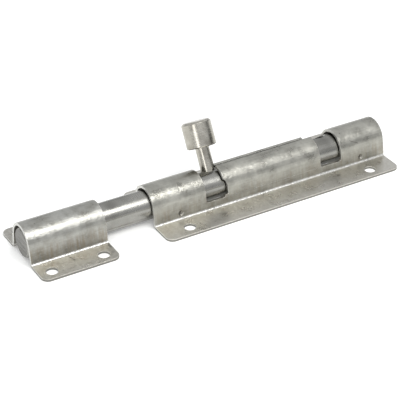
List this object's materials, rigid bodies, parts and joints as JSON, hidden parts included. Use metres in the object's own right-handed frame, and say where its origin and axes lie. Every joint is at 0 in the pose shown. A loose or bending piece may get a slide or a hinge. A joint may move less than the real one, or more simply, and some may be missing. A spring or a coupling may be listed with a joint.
{
  "type": "barrel bolt",
  "caption": "Surface-mounted barrel bolt: a round rod with a screwed-in knob that slides in a pressed arched case and into a separate pressed keeper, in stainless steel.",
  "frame": {"origin": "middle of the case on the mounting surface, which is also the middle of its four screw holes", "axes": "+X along the rod away from the keeper, +Z away from the mounting surface, +Y to the far side of the pictured view, where the slot between the case's cheeks leans"},
  "size_m": [0.2135, 0.053, 0.0422],
  "materials": {
    "pressed_sheet": "satin stainless sheet, 1.5 mm, pressed",
    "keeper_sheet": "satin stainless sheet, 1.5 mm, pressed",
    "turned_rod": "bright drawn and polished stainless bar",
    "turned_knob": "turned stainless bar with fine tool marks"
  },
  "bodies": {
    "mounting": {"case": "pressed_sheet", "keeper": "keeper_sheet"},
    "bolt": {"bolt_rod": "turned_rod", "knob": "turned_knob"}
  },
  "joints": [
    {"name": "bolt_slide", "type": "slide", "parent": "mounting", "child": "bolt", "axis": [1, 0, 0], "range_m": [-0.005, 0.0718]}
  ]
}
